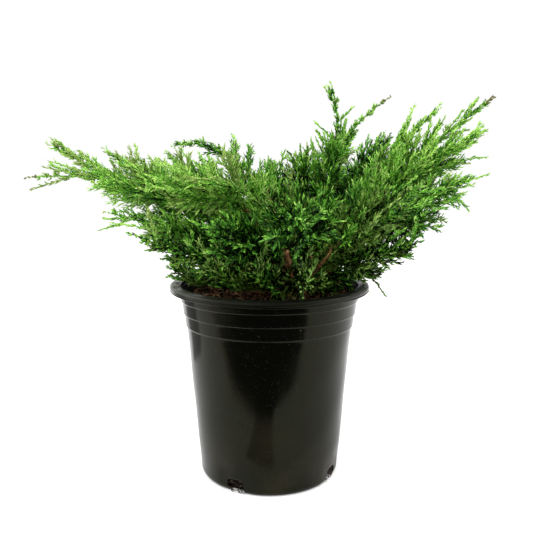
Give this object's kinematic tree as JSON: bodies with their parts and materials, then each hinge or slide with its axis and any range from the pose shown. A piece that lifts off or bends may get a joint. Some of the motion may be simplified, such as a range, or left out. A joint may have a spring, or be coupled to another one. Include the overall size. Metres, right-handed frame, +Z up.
{
  "type": "potted youngstown juniper",
  "caption": "Low spreading evergreen shrub with feathery ascending plumes of scale foliage, in a round black nursery pot with a rolled lip, ridged collar and drain holes.",
  "frame": {"origin": "centre of the pot's flat underside", "axes": "+Z up; +X towards the crown's right-hand plumes as seen from the front, along its widest spread; -Y is the front"},
  "size_m": [0.5497, 0.3883, 0.454],
  "materials": {
    "pot_plastic": "gloss",
    "compost": "matt",
    "bark": "matt",
    "foliage": "satin"
  },
  "bodies": {
    "root": {"bough_01": "bark", "bough_02": "bark", "bough_03": "bark", "bough_04": "bark", "bough_05": "bark", "bough_06": "bark", "bough_07": "bark", "bough_08": "bark", "bough_09": "bark", "bough_10": "bark", "bough_11": "bark", "bough_12": "bark", "bough_13": "bark", "bough_14": "bark", "bough_15": "bark", "bough_16": "bark", "bough_17": "bark", "bough_18": "bark", "bough_19": "bark", "bough_20": "bark", "bough_21": "bark", "bough_22": "bark", "foliage_01": "foliage", "foliage_02": "foliage", "foliage_03": "foliage", "foliage_04": "foliage", "foliage_05": "foliage", "foliage_06": "foliage", "foliage_07": "foliage", "foliage_08": "foliage", "foliage_09": "foliage", "foliage_10": "foliage", "foliage_11": "foliage", "foliage_12": "foliage", "foliage_13": "foliage", "foliage_14": "foliage", "foliage_15": "foliage", "foliage_16": "foliage", "foliage_17": "foliage", "foliage_18": "foliage", "foliage_19": "foliage", "foliage_20": "foliage", "foliage_21": "foliage", "foliage_22": "foliage", "foliage_23": "foliage", "foliage_24": "foliage", "foliage_25": "foliage", "foliage_26": "foliage", "foliage_27": "foliage", "foliage_28": "foliage", "foliage_29": "foliage", "foliage_30": "foliage", "foliage_31": "foliage", "foliage_32": "foliage", "pot": "pot_plastic", "soil": "compost", "trunk": "bark"}
  },
  "joints": []
}
